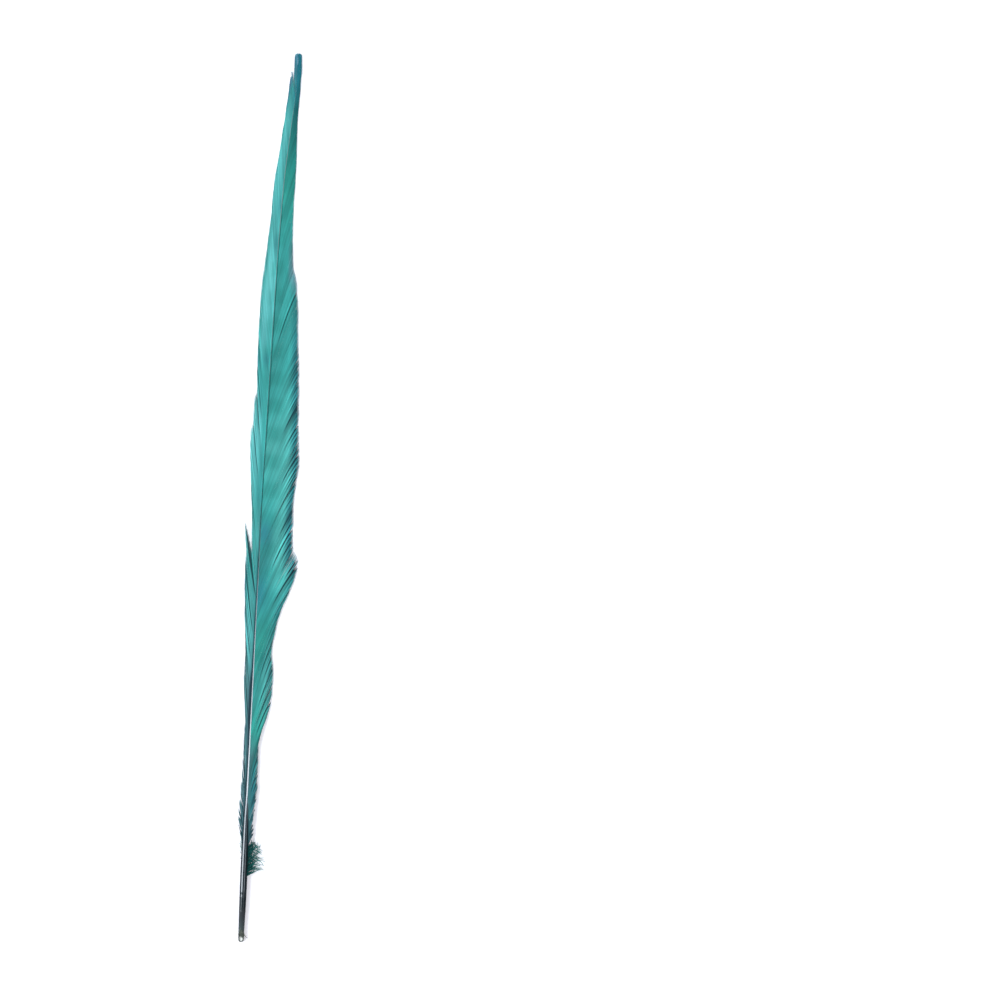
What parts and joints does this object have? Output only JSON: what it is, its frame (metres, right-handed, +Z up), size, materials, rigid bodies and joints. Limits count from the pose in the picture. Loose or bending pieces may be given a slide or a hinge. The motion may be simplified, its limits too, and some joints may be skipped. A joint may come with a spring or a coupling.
{
  "type": "pheasant tail feather",
  "caption": "Long dyed tail feather lying flat: bare quill, tapering shaft, narrow and broad vane of parting locks, and curled down at the foot.",
  "frame": {"origin": "middle of the box's underside, on the surface that the feather lies on", "axes": "+Y along the feather from the cut end of the quill to the tip; +Z up, out of the feather's upper side; +X towards the broad vane"},
  "size_m": [0.0316, 0.5132, 0.0045],
  "materials": {
    "vane": "dyed feather barbs, satin, with faint darker cross bars",
    "quill": "dyed keratin, smooth and glossy, matte near the cut end",
    "down": "dyed down, dull and curly"
  },
  "bodies": {
    "root": {"feather": "vane"}
  },
  "joints": []
}
